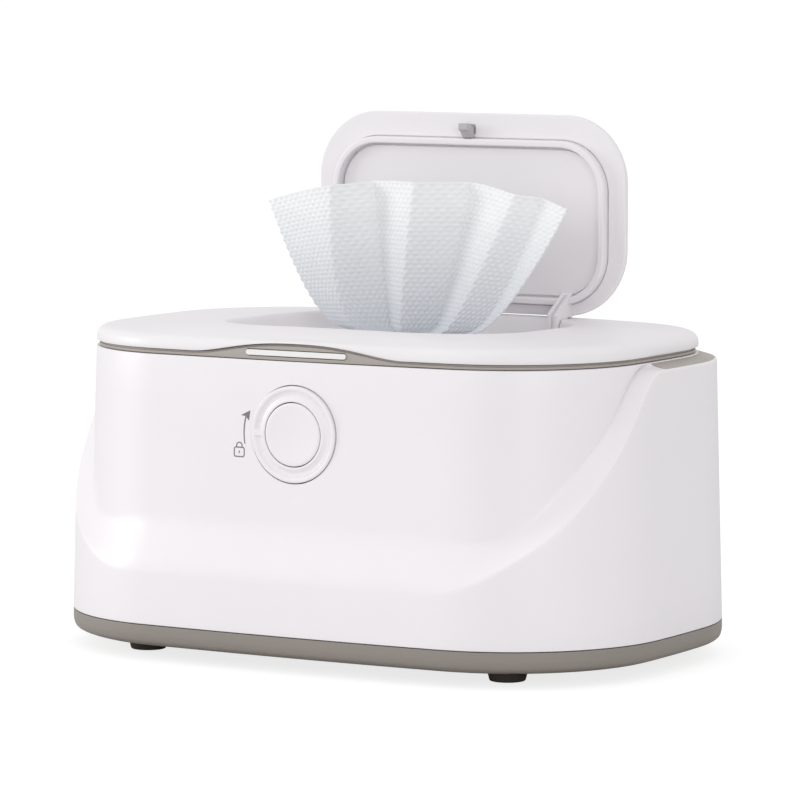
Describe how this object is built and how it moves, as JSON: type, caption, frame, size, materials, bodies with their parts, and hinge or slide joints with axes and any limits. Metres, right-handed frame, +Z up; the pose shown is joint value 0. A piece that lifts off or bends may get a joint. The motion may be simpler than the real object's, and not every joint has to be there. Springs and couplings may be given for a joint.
{
  "type": "baby wipe warmer",
  "caption": "Heated wipe dispenser: bowed oval housing with a swept front, a hinged refill lid, a flip lid over a round-cornered dish, a push button in a turning lock ring, and a wipe drawn up.",
  "frame": {"origin": "centre of the footprint, on the table under the feet", "axes": "+X to the right along the width, +Y from the front with the button to the rear hinge, +Z up"},
  "size_m": [0.2364, 0.1574, 0.193],
  "materials": {
    "gloss_white": "gloss white moulded ABS",
    "lid_white": "satin white moulded ABS",
    "trim_taupe": "satin taupe ABS",
    "base_taupe": "satin taupe ABS",
    "foot_rubber": "matt dark rubber",
    "inner_white": "satin off-white polypropylene",
    "diffuser": "milky light diffuser",
    "hook_grey": "satin grey acetal",
    "silicone": "translucent grey silicone",
    "steel": "plain steel",
    "heater_aluminium": "mill aluminium",
    "heater_film": "polyimide film",
    "foam": "closed-cell foam",
    "circuit_board": "green solder mask",
    "black_plastic": "black moulded plastic",
    "wipe_cloth": "embossed non-woven wipe"
  },
  "bodies": {
    "housing": {"housing_shell": "gloss_white", "base_tray": "base_taupe", "trim_ring": "trim_taupe", "foot_front_left": "foot_rubber", "foot_front_right": "foot_rubber", "foot_rear_left": "foot_rubber", "foot_rear_right": "foot_rubber", "base_screw_front_left": "steel", "base_screw_front_right": "steel", "base_screw_rear_left": "steel", "base_screw_rear_right": "steel", "light_bar": "diffuser", "light_board": "circuit_board", "inner_tub": "inner_white", "heater_plate": "heater_aluminium", "heater_film": "heater_film", "thermostat": "black_plastic", "insulation_pad": "foam", "control_board": "circuit_board", "power_socket": "black_plastic", "button_guide": "inner_white", "guide_screw_left": "steel", "guide_screw_right": "steel", "button_spring": "steel", "lid_hinge_pin_left": "steel", "lid_hinge_pin_right": "steel"},
    "button": {"push_button": "gloss_white", "latch_slide": "inner_white"},
    "ring": {"lock_ring": "gloss_white"},
    "lid": {"main_lid": "lid_white", "latch_tongue": "inner_white", "lid_gasket": "silicone", "orifice_frame": "lid_white", "orifice_insert": "silicone", "hook_catch": "hook_grey", "flip_hinge_pin_left": "steel", "flip_hinge_pin_right": "steel", "wipe": "wipe_cloth"},
    "flip": {"flip_lid": "lid_white", "flip_hook": "hook_grey"}
  },
  "joints": [
    {"name": "main_lid_hinge", "type": "hinge", "parent": "housing", "child": "lid", "pos_m": [0, 0.0727, 0.1124], "axis": [-1, 0, 0], "range_deg": [0, 85]},
    {"name": "flip_lid_hinge", "type": "hinge", "parent": "lid", "child": "flip", "pos_m": [0, 0.0488, 0.1134], "axis": [1, 0, 0], "range_deg": [0, 90], "deforming": ["wipe"]},
    {"name": "button_push", "type": "slide", "parent": "housing", "child": "button", "axis": [0, 1, 0], "range_m": [0, 0.0025], "stiffness_N_per_m": 600, "springref_m": -0.003, "deforming": ["button_spring"]},
    {"name": "lock_ring_turn", "type": "hinge", "parent": "housing", "child": "ring", "pos_m": [0, -0.069, 0.0842], "axis": [0, 1, 0], "range_deg": [-20, 25]}
  ]
}
